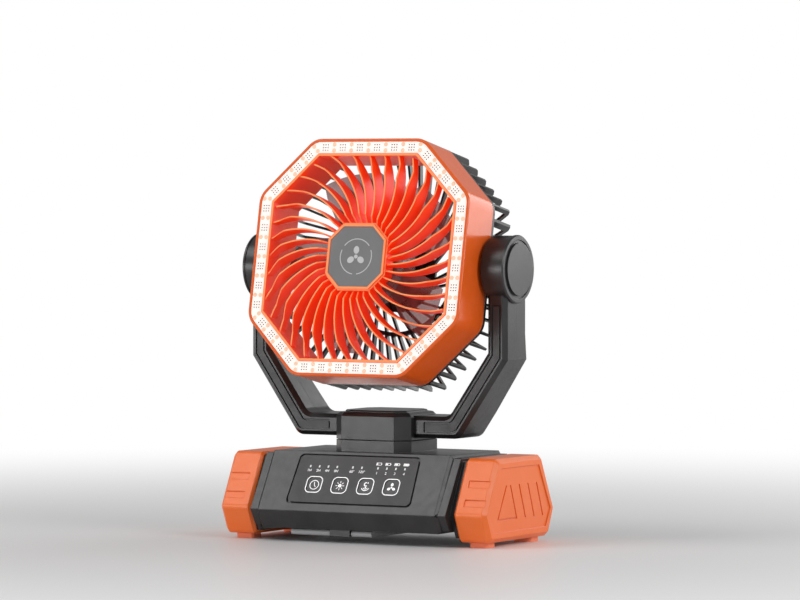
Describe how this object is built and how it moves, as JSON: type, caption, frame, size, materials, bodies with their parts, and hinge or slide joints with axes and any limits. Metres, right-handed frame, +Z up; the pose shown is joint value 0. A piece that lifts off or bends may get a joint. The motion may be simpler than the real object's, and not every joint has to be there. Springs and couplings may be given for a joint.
{
  "type": "camping fan",
  "caption": "Portable tabletop fan with an eight-sided lamp ring, a tilting head in a swivelling yoke, a sloped control panel and a fold-out hanging loop.",
  "frame": {"origin": "on the surface under the middle of the base", "axes": "+Z up, -Y towards the front of the fan, +X to the right seen from the front"},
  "size_m": [0.236, 0.1318, 0.3133],
  "materials": {
    "black_casing": "fine satin moulded plastic",
    "orange_cap": "fine satin moulded plastic",
    "orange_foot": "soft matte pad",
    "grey_panel": "smooth matte plate",
    "lamp_window": "clear light guides",
    "green_board": "coated circuit board",
    "black_part": "plain moulded plastic",
    "cell_sleeve": "shrink sleeve",
    "steel": "plated steel",
    "brass": "turned bush",
    "grey_trim": "satin inlay strip",
    "black_rubber": "friction disc",
    "orange_shroud": "fine satin moulded plastic",
    "red_grille": "semi-gloss moulded plastic",
    "grey_badge": "satin plate",
    "white_board": "white lamp board",
    "lamp_chip": "lamp chip",
    "diffuser": "frosted diffuser",
    "black_grille": "satin moulded plastic",
    "smoke_blade": "smoky translucent blades",
    "white_button": "lit key cap",
    "grey_loop": "moulded loop"
  },
  "bodies": {
    "base": {"base_upper_shell": "black_casing", "base_lower_shell": "black_casing", "end_cap_left": "orange_cap", "end_cap_right": "orange_cap", "feet": "orange_foot", "control_panel": "grey_panel", "indicator_lamps": "lamp_window", "control_board": "green_board", "tact_switches": "black_part", "battery_cells": "cell_sleeve", "battery_tray": "black_part", "usb_c_socket": "steel", "usb_a_socket": "steel", "base_screws": "steel", "swivel_bush": "brass", "swing_motor": "steel", "loop_pin": "steel"},
    "yoke": {"swivel_block": "black_casing", "swivel_block_cap": "black_casing", "yoke_front_shell": "black_casing", "yoke_rear_shell": "black_casing", "yoke_trim_left": "grey_trim", "yoke_trim_right": "grey_trim", "yoke_screws": "steel", "pivot_cap_left": "black_casing", "pivot_cap_right": "black_casing", "pivot_bolt_left": "steel", "pivot_bolt_right": "steel", "swivel_spindle": "steel", "spindle_washer": "steel", "swing_motor_shaft": "steel", "friction_disc_left": "black_rubber", "friction_disc_right": "black_rubber"},
    "head": {"front_shroud": "orange_shroud", "front_grille": "red_grille", "hub_badge": "grey_badge", "lamp_board": "white_board", "lamp_chips": "lamp_chip", "lamp_diffuser": "diffuser", "rear_grille": "black_grille", "motor_screws": "steel", "fan_motor": "steel"},
    "rotor": {"fan_rotor": "smoke_blade", "motor_shaft": "steel", "blade_nut": "black_part"},
    "timer_button": {"button_timer": "white_button"},
    "light_button": {"button_light": "white_button"},
    "swing_button": {"button_swing": "white_button"},
    "speed_button": {"button_speed": "white_button"},
    "hook": {"hanging_loop": "grey_loop"}
  },
  "joints": [
    {"name": "yoke_swivel", "type": "hinge", "parent": "base", "child": "yoke", "pos_m": [0, 0, 0.079], "axis": [0, 0, 1], "range_deg": [-60, 60]},
    {"name": "head_tilt", "type": "hinge", "parent": "yoke", "child": "head", "pos_m": [0, 0, 0.21235], "axis": [-1, 0, 0], "range_deg": [-101, 78.5]},
    {"name": "fan_spin", "type": "hinge", "parent": "head", "child": "rotor", "pos_m": [0, 0, 0.21235], "axis": [0, -0.981, 0.1942], "continuous": true},
    {"name": "loop_fold", "type": "hinge", "parent": "base", "child": "hook", "pos_m": [0, -0.049, 0.0073], "axis": [-1, 0, 0], "range_deg": [0, 170]},
    {"name": "timer_press", "type": "slide", "parent": "base", "child": "timer_button", "axis": [0, 0.8645, -0.5026], "range_m": [0, 0.0008], "stiffness_N_per_m": 700, "springref_m": -0.0004},
    {"name": "light_press", "type": "slide", "parent": "base", "child": "light_button", "axis": [0, 0.8645, -0.5026], "range_m": [0, 0.0008], "stiffness_N_per_m": 700, "springref_m": -0.0004},
    {"name": "swing_press", "type": "slide", "parent": "base", "child": "swing_button", "axis": [0, 0.8645, -0.5026], "range_m": [0, 0.0008], "stiffness_N_per_m": 700, "springref_m": -0.0004},
    {"name": "speed_press", "type": "slide", "parent": "base", "child": "speed_button", "axis": [0, 0.8645, -0.5026], "range_m": [0, 0.0008], "stiffness_N_per_m": 700, "springref_m": -0.0004}
  ]
}
